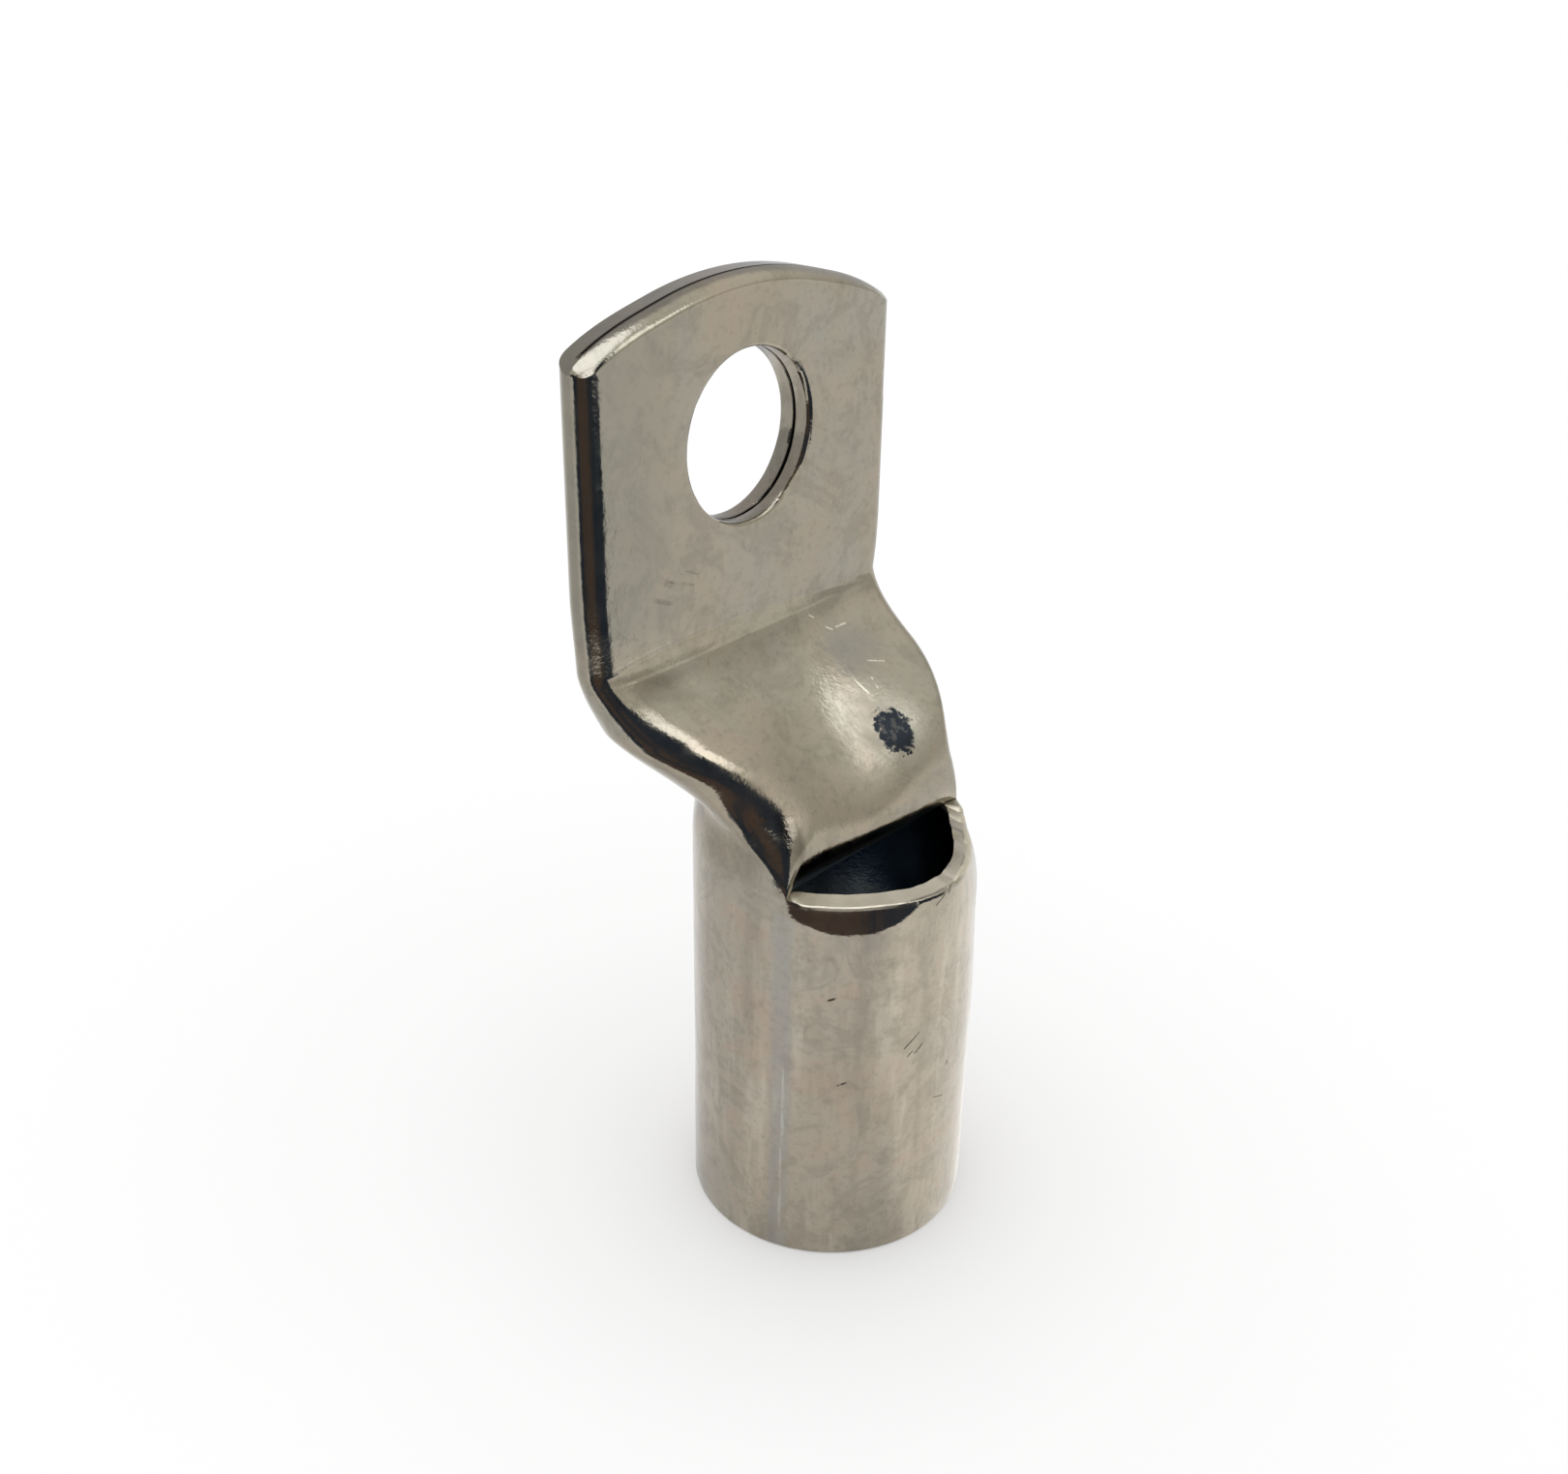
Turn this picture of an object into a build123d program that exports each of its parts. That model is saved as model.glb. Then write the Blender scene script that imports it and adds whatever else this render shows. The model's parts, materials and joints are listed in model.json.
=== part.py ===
"""Tubular cable lug, pressed as one piece from a length of tinned copper tube.

The lower end is left round and takes the stranded conductor. Above a cut through
the front wall the tube is pressed back and flat, so that two layers of wall lie
on each other and make the palm, which has a bolt hole. The cut leaves an
inspection window, through which the end of the conductor is seen.

Origin: centre of the barrel's mouth. +Z runs up the barrel's axis, X is across
the palm, and -Y is the side with the window. Millimetres.
"""
import os
from math import sqrt

from build123d import *

# Tube
barrel_diameter = 29.5        # outside, at the round end
wall = 1.9                    # of the tube
seam_gap = 0.2                # hairline left between the two layers of the palm

# Lengths up the tube, each from where the last one ends
barrel_length = 43.0          # from the mouth to the rim of the window, where the cut runs
shoulder_rise = 19.5          # from that rim to the foot of the flat palm
foot_to_hole = 19.0           # from the foot to the centre of the bolt hole
hole_to_top = 15.5            # from that centre to the top of the palm, on its centre line

# Places front to back, from the barrel's axis
lip_offset = 5.1              # front wall just above the cut, in front of the axis
contact_offset = 16.2         # back face of the palm, behind the axis

# Palm
palm_width = 43.0
hole_diameter = 17.0
top_radius = 42.0             # the arc along the palm's top
corner_radius = 2.5           # where that arc meets the sides

# Broken edges
mouth_outer_rounding = 0.3
mouth_inner_rounding = 0.3
hole_rounding = 0.3
top_rounding = 0.5            # front edge of the palm's top, rolled by the shear

# The pressed shoulder, from the window to the palm's foot, in shares of that rise
front_delay = 1.25            # over 1, the front wall starts back slowly
front_end = 1.06              # over 1, it still leans at the foot and leaves a crease
flare_start = 0.25            # where the folds leave the barrel's round
flare_end = 0.7
flare_part = 0.7              # of the widening that the flare does; the rest comes late
back_start = 0.25
fold_start = 0.4              # radius of the folds at the cut, as a share of the palm's
fold_end = 0.45               # where they reach the palm's radius
shoulder_steps = 8            # spans between the cross-sections of the shoulder
curve_steps = 8               # spans of a curve that stands for a stretched arc

# Sizes that follow
barrel_radius = barrel_diameter / 2
bore_radius = barrel_radius - wall
palm_thickness = 2 * wall + seam_gap
fold_radius = palm_thickness / 2
palm_front = contact_offset - palm_thickness
palm_middle = contact_offset - palm_thickness / 2
foot_height = barrel_length + shoulder_rise
hole_height = foot_height + foot_to_hole
overall_height = hole_height + hole_to_top
cut_margin = 1.0              # how far a cutter runs past what it cuts
side_clearance = 0.05         # from the palm's sides to the slab that trims its top
slope_step = 0.001            # share of the rise over which a slope is measured
tiny = 1e-6                   # lengths that differ by less than this are the same

palm_reach = palm_width / 2 - fold_radius   # from the middle to a fold's centre


def between(start, end, share):
    """The value that lies the given share of the way from start to end."""
    return start + share * (end - start)


def eased(share, start, end):
    """0 up to start and 1 from end, with a smooth rise in between."""
    way = min(max((share - start) / (end - start), 0), 1)
    return way * way * (3 - 2 * way)


def front_at(share):
    """Y of the front wall's outside at a share of the shoulder's rise."""
    way = eased(share ** front_delay, 0, front_end) / eased(1, 0, front_end)
    return between(-lip_offset, palm_front, way)


def widening_at(share):
    """The share of the widening that is done at a share of the shoulder's rise."""
    return between(share ** 3, eased(share, flare_start, flare_end), flare_part)


def reach_at(share, radius, front, fold):
    """How far out a fold's centre is. At the cut the fold touches a circle from inside."""
    start = sqrt((radius - fold) ** 2 - min(front + fold, 0) ** 2)
    return between(start, palm_reach, widening_at(share))


def stretched(edge, slant):
    """The same edge with its Y multiplied by slant, as a smooth curve."""
    def stretch(vector):
        return Vector(vector.X, vector.Y * slant)

    if edge.geom_type == GeomType.LINE:
        return Line(stretch(edge @ 0), stretch(edge @ 1))
    points = [stretch(edge @ (step / curve_steps)) for step in range(curve_steps + 1)]
    return Spline(points, tangents=[stretch(edge % 0), stretch(edge % 1)])


def outline(reach, front, back, fold, slant=1.0, sharp=False):
    """Face bounded by a flat front, two folds and an arched back.

    The folds are arcs of radius fold about (+-reach, front + fold), and the back is
    an arc that runs on smoothly from both. A fold that leans is deeper in a level
    section, and slant stretches the outline from front to back for that. A sharp
    outline has a flat in place of each fold, as where the cut ends.
    """
    near = front / slant
    depth = (back - front) / slant - fold
    centre = Vector(reach, near + fold)
    if depth - fold < tiny:
        corner = centre + Vector(0, fold)
        bulge = centre + Vector(fold, 0)
        back_edge = Line(corner, Vector(-corner.X, corner.Y))
    else:
        back_radius = (reach ** 2 + depth ** 2 - fold ** 2) / (2 * (depth - fold))
        back_centre = Vector(0, centre.Y + depth - back_radius)
        aim = (centre - back_centre).normalized()
        corner = centre + aim * fold
        bulge = centre + (aim + Vector(0, -1)).normalized() * fold
        top = back_centre + Vector(0, back_radius)
        back_edge = ThreePointArc(corner, top, Vector(-corner.X, corner.Y))
    start = Vector(reach, near)
    right_fold = Line(start, corner) if sharp else ThreePointArc(start, bulge, corner)
    left_fold = right_fold.mirror(Plane.YZ)
    front_edge = Line(Vector(-start.X, start.Y), start)
    edges = [front_edge, right_fold, back_edge, left_fold]
    if slant > 1:
        edges = [stretched(edge, slant) for edge in edges]
    return Face(Wire(edges))


def shoulder_sections():
    """The outer and the inner outlines of the tube, from the window to the foot."""
    outer, inner = [], []
    for step in range(shoulder_steps + 1):
        share = step / shoulder_steps
        front = front_at(share)
        slope = (front - front_at(max(share - slope_step, 0))) / (slope_step * shoulder_rise)
        back = between(barrel_radius, contact_offset, eased(share, back_start, 1))
        fold = fold_radius * between(fold_start, 1, eased(share, 0, fold_end))
        reach = reach_at(share, barrel_radius, front, fold)
        front_slant = sqrt(1 + slope ** 2)
        slant = min((1 + front_slant) / 2, (back - front) / palm_thickness)
        level = Location((0, 0, barrel_length + share * shoulder_rise))
        outer.append(level * outline(reach, front, back, fold, slant, step == 0))

        inside = min(front + wall * front_slant, back - wall - seam_gap)
        reach = reach_at(share, bore_radius, inside, seam_gap / 2)
        inner.append(level * outline(reach, inside, back - wall, seam_gap / 2))
    return outer, inner


def tube(radius, sections, base, top):
    """A round tube's solid from base to the rim, the shoulder, and the flat above it."""
    standing = (Align.CENTER, Align.CENTER, Align.MIN)
    solid = Pos(0, 0, base) * Cylinder(radius, barrel_length - base, align=standing)
    solid += loft(sections)
    solid += extrude(sections[-1], top - foot_height, dir=(0, 0, 1))
    return solid


def palm_trim():
    """A slab along Y whose arched top trims the palm. Its sides stay just clear."""
    side = palm_width / 2 + side_clearance
    shoulder = overall_height - top_radius + sqrt(top_radius ** 2 - side ** 2)
    below = -cut_margin
    profile = Wire([
        Line((-side, below), (side, below)),
        Line((side, below), (side, shoulder)),
        ThreePointArc((side, shoulder), (0, overall_height), (-side, shoulder)),
        Line((-side, shoulder), (-side, below)),
    ])
    blank = Face(profile)
    blank = fillet(blank.vertices().sort_by(Axis.Y)[-2:], corner_radius)
    return extrude(Plane.XZ * blank, barrel_radius + contact_offset, both=True)


def arcs(solid, radius, axis, place):
    """The solid's edges of a radius that lie square to an axis at a place on it."""
    level = solid.edges().filter_by_position(axis, place - tiny, place + tiny)
    return [edge for edge in level.filter_by(GeomType.CIRCLE) if abs(edge.radius - radius) < tiny]


def rounded(solid):
    """The solid with its mouth, the front of its top and both ends of its hole rounded."""
    solid = fillet(arcs(solid, bore_radius, Axis.Z, 0), mouth_inner_rounding)
    solid = fillet(arcs(solid, barrel_radius, Axis.Z, 0), mouth_outer_rounding)
    solid = fillet(arcs(solid, top_radius, Axis.Y, palm_front), top_rounding)
    for face in (palm_front, contact_offset):
        solid = fillet(arcs(solid, hole_diameter / 2, Axis.Y, face), hole_rounding)
    return solid


def cable_lug():
    """The whole lug as one solid."""
    outer, inner = shoulder_sections()
    skin = tube(barrel_radius, outer, 0, overall_height + cut_margin) & palm_trim()
    bore = tube(bore_radius, inner, -cut_margin, overall_height + 2 * cut_margin)
    place = Pos(0, palm_middle, hole_height) * Rot(90, 0, 0)
    hole = place * Cylinder(hole_diameter / 2, palm_thickness + 2 * cut_margin)
    return rounded(skin - bore - hole)


lug = cable_lug()
os.makedirs("parts", exist_ok=True)
export_step(lug, "parts/cable_lug.step")
print("solids", len(lug.solids()), "volume", round(lug.volume, 1), "valid", lug.is_valid)
print(lug.bounding_box())
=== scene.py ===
"""Looks of the tubular cable lug: a tinned copper tube with its upper end pressed flat.

Frame: origin at the centre of the barrel's mouth, +Z up the barrel, X across the palm,
-Y the side with the window. Sizes are in millimetres here and become metres in the meshes.
"""
import json
import math

import bpy
import numpy as np
from mathutils import Matrix, Vector, noise


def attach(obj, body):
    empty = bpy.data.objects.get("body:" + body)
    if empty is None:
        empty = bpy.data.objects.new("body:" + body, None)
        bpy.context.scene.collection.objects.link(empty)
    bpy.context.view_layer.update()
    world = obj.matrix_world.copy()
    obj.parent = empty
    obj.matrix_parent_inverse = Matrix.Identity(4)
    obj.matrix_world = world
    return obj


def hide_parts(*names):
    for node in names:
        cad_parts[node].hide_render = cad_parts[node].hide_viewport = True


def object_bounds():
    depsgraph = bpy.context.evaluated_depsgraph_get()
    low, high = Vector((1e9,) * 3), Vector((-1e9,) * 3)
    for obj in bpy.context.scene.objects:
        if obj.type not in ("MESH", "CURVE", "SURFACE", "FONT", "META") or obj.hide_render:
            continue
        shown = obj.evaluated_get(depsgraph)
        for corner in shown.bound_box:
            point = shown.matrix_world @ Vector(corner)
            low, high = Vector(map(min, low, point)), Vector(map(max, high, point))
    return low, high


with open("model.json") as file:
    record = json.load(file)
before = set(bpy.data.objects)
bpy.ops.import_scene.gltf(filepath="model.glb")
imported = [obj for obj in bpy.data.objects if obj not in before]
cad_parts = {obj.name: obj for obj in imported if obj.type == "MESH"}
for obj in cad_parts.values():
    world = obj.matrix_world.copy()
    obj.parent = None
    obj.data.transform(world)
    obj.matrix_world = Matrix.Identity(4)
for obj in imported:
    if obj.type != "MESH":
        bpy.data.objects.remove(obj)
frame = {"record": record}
cad_low, cad_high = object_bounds()
mm = 0.001

# Sizes read from the frame
mounts = {mount["name"]: mount for mount in frame["record"]["mounts"]}
bore_radius = mounts["barrel_bore"]["dims"]["r_mm"]
barrel_length = mounts["barrel_bore"]["dims"]["length_mm"]
hole_radius = mounts["bolt_hole"]["dims"]["r_mm"]
hole_height = mounts["bolt_hole"]["pos_m"][2] / mm
palm_front = mounts["washer_face"]["pos_m"][1] / mm
palm_back = mounts["contact_face"]["pos_m"][1] / mm
barrel_radius = -cad_low.y / mm
palm_half_width = cad_high.x / mm
top_height = cad_high.z / mm

# Sizes of the pressed tube
wall = 1.9
foot_height = 62.5            # where the palm becomes flat
lip_offset = 5.1              # front wall just above the cut, in front of the axis
cut_gap = 0.05                # between the two edges of the cut, where it ends
cut_back = 3.0                # Y that the cut's edges stay in front of
top_radius = 42.0             # arch of the palm's top
shoulder_lift = 0.5           # how far that arch stands up at its two ends
corner_radius = 0.9
left_fold_radius = 3.6        # the folds where the shoulder is widest open
right_fold_radius = 2.2
crest_radius = 10.5           # the gentler bend that leads into the left fold there
crest_turn = math.radians(30)
mouth_rounding = 0.35
rim_rounding = 0.12           # outer edge of the rim, on its left
torn_rounding = 0.6           # the same on its right, where the punch tore it
lip_rounding = 0.15
roll_drop = 1.15              # how far the front layer's top edge rolls down
roll_power = 1.4              # over 1, that edge is flatter than an arc at first
roll_end = 2.6                # how far from the palm's sides the roll starts to ease
sink_width = 1.4              # round the bolt hole, where its edge sinks in
tiny = 1e-4                   # least length that another one is divided by

# The pressed shoulder, in shares of its rise from the cut to the palm's foot
front_delay = 1.25            # over 1, the front wall starts back slowly
front_end = 1.06              # over 1, it still leans at the foot and leaves a crease
back_start = 0.25
fold_start = -0.02            # under 0, so that the folds aren't quite sharp at the cut
fold_open = 0.27              # where they are widest, and where they start to close
fold_close = 0.5
flare_start = 0.25            # where the folds leave the barrel's round
flare_end = 0.7
flare_part = 0.7              # of the widening that the flare does; the rest comes late
late_start = 0.35
crest_peak = 0.42             # where the left fold's gentler bend turns most
crest_gain = 0.45             # by how much more than elsewhere
slope_step = 0.001            # over which a slope is measured

# Dents of the barrel below the rim. Turns are in degrees from the front, positive to the right
crescent_turn = -45
crescent_half = 27            # to either side of that
crescent_depth = 2.95         # down from the rim
crescent_slope = 0.2          # inwards, for each length up
pulled_start = -8             # the torn rim is pulled in from here on
pulled_full = 42
pulled_foot = 24.0            # height where that begins, faintly
pulled_depth = 0.37           # of that faint part
roll_foot = 37.0              # height where the wall rolls in
roll_depth = 1.15
beside_depth = 0.38           # how far the wall beside the cut's right end follows
chip_edge = 0.03              # highest that the torn rim stands up
wave_depth = 0.07             # of the barrel's wall
inner_part = 0.8              # how much of all this the wall's inside follows

# Bends of the shoulder's front
curl_left = 0.85              # how far the lip above the cut curls in, and over what height
curl_right = 0.25
curl_left_height = 3.2
curl_right_height = 1.1
dish_depth = 2.0
dish_share = 0.47             # share of the rise where the dish is deepest
push_left = 0.6               # how far the two sides are pushed forward
push_right = 1.4
push_share = 0.52
crease_height = 63.5          # top and foot of the flat band along the crease
band_foot = 61.6
band_slope = 0.35             # forwards, for each length down
front_lean = 0.36             # of the wall itself just below the foot
crease_depth = 0.03
crease_width = 0.24
drawn_left = 1.1              # how far the left side is drawn in half way up, and at the top
drawn_left_top = 0.3
drawn_right = 0.9             # the same for the right side, and the height where it is most
drawn_right_height = 59
dent = (-14.4, 60.1)          # X and Z of a shallow dent below the crease's left end
dent_depth = 0.2
pimple = (-10.0, 57.9)        # X and Z of a small rise beside it
pimple_height = 0.06
waviness = 0.12               # of the wall

# Marks on the tin, seen from the front: the X and Z of both ends, and the width
nicks = (
    ((-11.9, 32.3), (-11.2, 32.7), 0.16),
    ((-5.4, 25.5), (-3.7, 27.0), 0.10),
    ((-4.2, 24.5), (-3.2, 25.4), 0.10),
    ((-5.0, 24.4), (-4.4, 24.9), 0.08),
    ((0.7, 20.7), (0.9, 21.1), 0.16),
    ((-11.0, 22.1), (-10.4, 22.5), 0.12),
    ((-1.1, 17.5), (0.4, 16.9), 0.07),
    ((-2.6, 41.4), (-1.5, 42.2), 0.10),
    ((-0.9, 42.0), (-0.5, 42.9), 0.09),
)
scratches = (
    ((9.1, 59.6), (9.8, 59.2), 0.11),
    ((10.3, 59.3), (11.9, 59.3), 0.10),
    ((7.9, 55.7), (8.3, 54.4), 0.13),
    ((9.9, 55.4), (9.6, 54.6), 0.12),
    ((10.9, 56.5), (12.7, 56.1), 0.08),
    ((7.8, 61.0), (8.3, 60.6), 0.10),
)
brush_marks = (
    ((-12.9, 70.6), (-9.6, 68.5), 0.5),
    ((-11.4, 69.9), (-8.0, 68.6), 0.2),
    ((-13.9, 68.9), (-11.2, 67.6), 0.35),
    ((-9.2, 70.4), (-7.4, 69.5), 0.14),
)
# The same: a dull part below the crescent, painted shade in the dent, and painted shade along the left
# fold
dull_marks = (
    ((-11.0, 39.0), (-8.0, 39.0), 1.5),
)
dent_shade_marks = (
    ((-17.8, 60.9), (-12.2, 60.1), 1.7),
)
ridge_shade_marks = (
    ((-10.3, 49.6), (-11.7, 46.6), 1.4),
)
painted_spot = (8.0, -0.6, 51.5)      # painted reflection of a dark thing: a blot on the shoulder's right
painted_spot_stretch = (1, 0.85, 0.7)
grey_reflection_centre = (10.7, 7.4, 57.6)     # painted grey reflection above it

# Colours of the floor and the room, as linear light
floor_white = (0.86, 0.86, 0.86, 1)
floor_bright = (1.0, 0.99, 0.97, 1)
floor_dim = (0.62, 0.62, 0.64, 1)
blue_black = (0.04, 0.055, 0.085, 1)
brown = (0.15, 0.106, 0.086, 1)
wall_foot = (1.06, 1.05, 1.0, 1)
wall_low = (0.73, 0.72, 0.68, 1)
wall_high = (1.04, 1.03, 0.98, 1)
wall_behind = (0.58, 0.58, 0.6, 1)
lamp_foot = (1.3, 1.3, 1.22, 1)
lamp_middle = (2.7, 2.75, 2.8, 1)
ceiling = (2.8, 2.9, 3.1, 1)

# Sizes that follow
palm_thickness = palm_back - palm_front
palm_fold = palm_thickness / 2
seam_gap = palm_thickness - 2 * wall
seam_front = palm_front + wall
shoulder_rise = foot_height - barrel_length
cut_top = barrel_length + cut_gap

# Divisions of the tube's wall, for half of its girth and along a line up it
front_cells = 48
fold_cells = 20
back_cells = 48
taper_cells = 4               # at each end of the cut, where its edges run together
half_cells = front_cells + fold_cells + back_cells
columns = 2 * half_cells
hole_ring = 18                # cells from the hole's centre to its edge
plain_ring = 26               # cells from that centre to where the net is square again
foot_band = 1.8               # height of the close rows just above the palm's foot
foot_rows = 8
rows_to_hole = 42             # from there to the hole's centre
rows_to_top = 37
hole_rows = foot_rows + rows_to_hole
mouth_points = 5              # along the quarter turns of the roundings
rim_points = 7
lip_points = 4
top_points = 7
inner_points = 4
wide_height = 26.0            # the barrel's rows stand wide apart below this
close_height = 37.0           # and closest above this
close_share = 0.9             # share of the shoulder's rise from which its rows stand closer
rim_rows = 8                  # below the rim's edge that its tears move
merge_gap = 0.001             # points of the net closer than this become one


def between(start, end, share):
    """The value that lies the given share of the way from start to end."""
    return start + share * (end - start)


def eased(value, start=0.0, end=1.0):
    """0 up to start and 1 from end, with a smooth rise in between."""
    way = np.clip((value - start) / (end - start), 0, 1)
    return way * way * (3 - 2 * way)


def mound(value, centre, spread):
    """1 at the centre, falling off smoothly to either side."""
    return np.exp(-((value - centre) / spread) ** 2)


def rough(values, seed, size):
    """Smooth random numbers from about -1 to 1, one for each value, that vary over the size."""
    flat = [noise.noise(Vector((value / size, seed, 0.5))) for value in np.ravel(values)]
    return np.reshape(flat, np.shape(values))


def onward(start, end, count):
    """Values in even steps, from one step after the start up to the end."""
    return np.linspace(start, end, count + 1)[1:]


def quarter(points):
    """Angles of a quarter turn in even steps."""
    return np.linspace(0, math.pi / 2, points)


def share_at(height):
    """The share of the shoulder's rise at a height."""
    return (height - barrel_length) / shoulder_rise


def front_at(share):
    """Y of the front wall's outside at a share of the shoulder's rise."""
    way = eased(share ** front_delay, 0, front_end) / eased(1.0, 0, front_end)
    return between(-lip_offset, palm_front, way)


def front_slope(share):
    """How fast the front wall runs back there, for each length up."""
    return (front_at(share) - front_at(max(share - slope_step, 0))) / (slope_step * shoulder_rise)


def back_at(share):
    """Y of the back wall's outside at a share of the shoulder's rise."""
    return between(barrel_radius, palm_back, eased(share, back_start, 1))


def fold_at(share, widest):
    """Radius of a fold: nearly sharp at the cut, widest a third of the way up, tight at the palm."""
    opened = widest * eased(share, fold_start, fold_open)
    return between(opened, palm_fold, eased(share, fold_close, 1))


def reach_at(share, radius, front, fold):
    """How far out a fold's centre is. At the cut the fold touches a circle from inside."""
    start = math.sqrt((radius - fold) ** 2 - min(front + fold, 0) ** 2)
    end = palm_half_width - (barrel_radius - radius) - fold
    widening = between(eased(share, late_start, 1), eased(share, flare_start, flare_end), flare_part)
    return between(start, end, widening)


def half_outline(reach, front, back, fold, slant=1.0, crest=0.0):
    """Points of the right half of an outline, from the middle of the front to that of the back.

    The front is flat, then bends through the crest's angle at the crest's radius, or through
    less where there is no room. The fold follows, an arc about the point that lies at its
    reach, and the back is an arc again.
    """
    near = front / slant
    spare = crest_radius - fold
    room = max(back / slant - near - 2 * fold, 0)
    crest = min(crest, math.acos(1 - min(room / spare, 1)))
    bend_start = reach - spare * math.sin(crest)
    centre_y = near + spare * (1 - math.cos(crest)) + fold
    depth = max(back / slant - centre_y, fold + tiny)
    back_radius = (reach ** 2 + depth ** 2 - fold ** 2) / (2 * (depth - fold))
    back_centre = centre_y + depth - back_radius
    aim = math.atan2(centre_y - back_centre, reach)
    along = np.linspace(0, bend_start + crest_radius * crest, front_cells + 1)
    bend = np.maximum(along - bend_start, 0) / crest_radius
    turn = onward(crest - math.pi / 2, aim, fold_cells)
    arc = onward(aim, math.pi / 2, back_cells)
    x = np.concatenate([
        np.minimum(along, bend_start) + crest_radius * np.sin(bend),
        reach + fold * np.cos(turn),
        back_radius * np.cos(arc),
    ])
    y = np.concatenate([
        near + crest_radius * (1 - np.cos(bend)),
        centre_y + fold * np.sin(turn),
        back_centre + back_radius * np.sin(arc),
    ])
    return x, y * slant


def outer_outline(share, left=False):
    """The right or left half of the tube's outside at a share of the shoulder's rise."""
    front = front_at(share)
    back = back_at(share)
    fold = fold_at(share, left_fold_radius if left else right_fold_radius)
    reach = reach_at(share, barrel_radius, front, fold)
    crest = crest_turn * (1 + crest_gain * mound(share, crest_peak, 0.15)) * left
    crest *= eased(share, 0.1, 0.35) * (1 - eased(share, 0.7, 0.98))
    leaning = (1 + math.sqrt(1 + front_slope(share) ** 2)) / 2
    slant = min(leaning, (back - front) / (2 * fold))
    return half_outline(reach, front, back, fold, slant, crest)


def inner_outline(share):
    """The tube's inside at a share of the shoulder's rise."""
    back = back_at(share) - wall
    inside = front_at(share) + wall * math.sqrt(1 + front_slope(share) ** 2)
    inside = min(inside, back - seam_gap)
    opened = max(fold_at(share, left_fold_radius) - wall, 0)
    fold = min(seam_gap / 2 + opened, (back - inside) / 2)
    fold = between(fold, seam_gap / 2, eased(share, 0.7, 0.95))
    reach = reach_at(share, bore_radius, inside, fold)
    return half_outline(reach, inside, back, fold)


def round_outline(radius, rim, height):
    """The round tube at a height. At the rim its columns stand under those of the outline above."""
    x, y = rim
    cut = np.arctan2(y[front_cells], x[front_cells])
    end = np.arctan2(y[front_cells + fold_cells], x[front_cells + fold_cells])
    at_rim = np.concatenate([
        np.linspace(-math.pi / 2, cut, front_cells + 1),
        onward(cut, end, fold_cells),
        onward(end, math.pi / 2, back_cells),
    ])
    even = np.linspace(-math.pi / 2, math.pi / 2, half_cells + 1)
    angle = between(even, at_rim, eased(height / barrel_length, 0.45, 1))
    return radius * np.cos(angle), radius * np.sin(angle)


def arch_at(x):
    """Height of the palm's arched top at a distance from its middle."""
    arch_centre = top_height - top_radius
    corner_x = palm_half_width - corner_radius
    corner_z = arch_centre + math.sqrt((top_radius - corner_radius) ** 2 - corner_x ** 2)
    meeting = corner_x * top_radius / (top_radius - corner_radius)
    arch = arch_centre + np.sqrt(top_radius ** 2 - np.minimum(x, meeting) ** 2)
    lean = np.sqrt(np.maximum(corner_radius ** 2 - (x - corner_x) ** 2, 0))
    return np.where(x < meeting, arch, corner_z + lean) + shoulder_lift * eased(x, 10, 20)


def top_at(x, y):
    """Height of the palm's top. The front layer's edge rolls down towards the front."""
    roll = np.clip((seam_front - y) / wall, 0, 1)
    rolled = roll_drop * (1 - (1 - roll ** roll_power) ** (1 / roll_power))
    sides = eased(x, palm_half_width - roll_end, palm_half_width)
    return arch_at(x) - between(rolled, roll_drop * eased(roll), sides)


class Net:
    """Rows of points round the tube's wall: up its outside, over the top and down its inside."""

    def __init__(self):
        self.rows = []
        self.marks = {}

    def mark(self, name):
        """Remembers under a name the index of the next row."""
        self.marks[name] = len(self.rows)

    def add(self, outline, height, left_outline=None):
        """Adds a row from its right half, and its left half too where that is another one.

        The height is one number, or one for each point of a half.
        """
        z = np.broadcast_to(height, outline[0].shape)
        right = np.stack([*outline, z], axis=1)
        left = np.stack([*(left_outline or outline), z], axis=1)[:0:-1] * (-1, 1, 1)
        self.rows.append(np.concatenate([left, right[:-1]]))

    def points(self):
        """All points by column, row and axis."""
        return np.stack(self.rows, axis=1)


def palm_heights(outline):
    """Heights of the rows up the flat palm, from its foot to its top."""
    x, y = outline
    close = np.linspace(foot_height, foot_height + foot_band, foot_rows + 1)
    below = onward(close[-1], hole_height, rows_to_hole)
    level = [np.full(x.shape, z) for z in np.concatenate([close, below])]
    shares = onward(0, 1, rows_to_top)
    return level + [between(hole_height, top_at(x, y), share) for share in shares]


def add_outside(net):
    """Adds the rows up the outside, from the mouth to the palm's foot."""
    rim = outer_outline(0)
    for angle in quarter(mouth_points):
        radius = barrel_radius - mouth_rounding * (1 - math.sin(angle))
        height = mouth_rounding * (1 - math.cos(angle))
        net.add(round_outline(radius, rim, 0), height)
    low_part = onward(mouth_rounding, wide_height, 13)
    high_part = onward(wide_height, close_height, 19)
    rim_part = onward(close_height, barrel_length - torn_rounding, 21)
    for z in np.concatenate([low_part, high_part, rim_part]):
        net.add(round_outline(barrel_radius, rim, z), z)
    net.mark("rim_edge")
    for angle in quarter(rim_points)[1:]:
        z = barrel_length - torn_rounding * (1 - math.sin(angle))
        net.add(round_outline(barrel_radius, rim, barrel_length), z)
    net.mark("outer_lip")
    for angle in quarter(lip_points):
        z = cut_top + lip_rounding * (1 - math.cos(angle))
        net.add(outer_outline(share_at(z)), z, outer_outline(share_at(z), True))
    start = share_at(cut_top + lip_rounding)
    for share in np.concatenate([onward(start, close_share, 55), onward(close_share, 1, 15)[:-1]]):
        z = between(barrel_length, foot_height, share)
        net.add(outer_outline(share), z, outer_outline(share, True))
    net.mark("outer_foot")


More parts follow.
